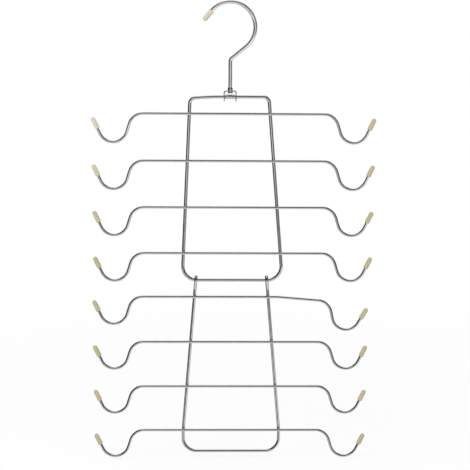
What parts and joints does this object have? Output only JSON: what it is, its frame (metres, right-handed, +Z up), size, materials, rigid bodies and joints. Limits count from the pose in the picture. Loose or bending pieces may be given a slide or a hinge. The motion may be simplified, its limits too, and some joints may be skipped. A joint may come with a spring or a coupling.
{
  "type": "bra organizer hanger",
  "caption": "Two hinged wire frames hang from a swivelling rod hook and carry cross bars that end in soft-tipped strap hooks for bras and camisoles.",
  "frame": {"origin": "rod seat: the inside of the hook's crown, in line with the shank and in the plane of the hook's wire", "axes": "+X to the right of a viewer in front of the bars, +Y away from that viewer, +Z up along the shank"},
  "size_m": [0.3094, 0.0115, 0.5096],
  "materials": {
    "hook_chrome": "bright chrome plate on drawn steel wire",
    "frame_chrome": "bright chrome plate on drawn steel wire",
    "bar_chrome": "bright chrome plate on drawn steel wire",
    "fitting_chrome": "bright chrome plate on pressed and turned steel",
    "tip_vinyl": "soft matte dip-moulded vinyl"
  },
  "bodies": {
    "hook": {"hook_wire": "hook_chrome", "hook_tip": "tip_vinyl", "swivel_collar": "fitting_chrome"},
    "swivel_clip": {"swivel_clip": "fitting_chrome"},
    "upper_tier": {"upper_frame": "frame_chrome", "rail_sleeve": "fitting_chrome", "strap_bar_1": "bar_chrome", "strap_bar_2": "bar_chrome", "strap_bar_3": "bar_chrome", "strap_bar_4": "bar_chrome", "bar_1_tip_left": "tip_vinyl", "bar_1_tip_right": "tip_vinyl", "bar_2_tip_left": "tip_vinyl", "bar_2_tip_right": "tip_vinyl", "bar_3_tip_left": "tip_vinyl", "bar_3_tip_right": "tip_vinyl", "bar_4_tip_left": "tip_vinyl", "bar_4_tip_right": "tip_vinyl"},
    "lower_tier": {"lower_frame": "frame_chrome", "strap_bar_5": "bar_chrome", "strap_bar_6": "bar_chrome", "strap_bar_7": "bar_chrome", "strap_bar_8": "bar_chrome", "bar_5_tip_left": "tip_vinyl", "bar_5_tip_right": "tip_vinyl", "bar_6_tip_left": "tip_vinyl", "bar_6_tip_right": "tip_vinyl", "bar_7_tip_left": "tip_vinyl", "bar_7_tip_right": "tip_vinyl", "bar_8_tip_left": "tip_vinyl", "bar_8_tip_right": "tip_vinyl"}
  },
  "joints": [
    {"name": "hook_swivel", "type": "hinge", "parent": "hook", "child": "swivel_clip", "pos_m": [0, 0, -0.09114], "axis": [0, 0, 1], "continuous": true},
    {"name": "frame_rock", "type": "hinge", "parent": "swivel_clip", "child": "upper_tier", "pos_m": [0, 0, -0.09774], "axis": [1, 0, 0], "range_deg": [-90, 90]},
    {"name": "lower_fold", "type": "hinge", "parent": "upper_tier", "child": "lower_tier", "pos_m": [0, 0, -0.29904], "axis": [1, 0, 0], "range_deg": [-150, 160]}
  ]
}
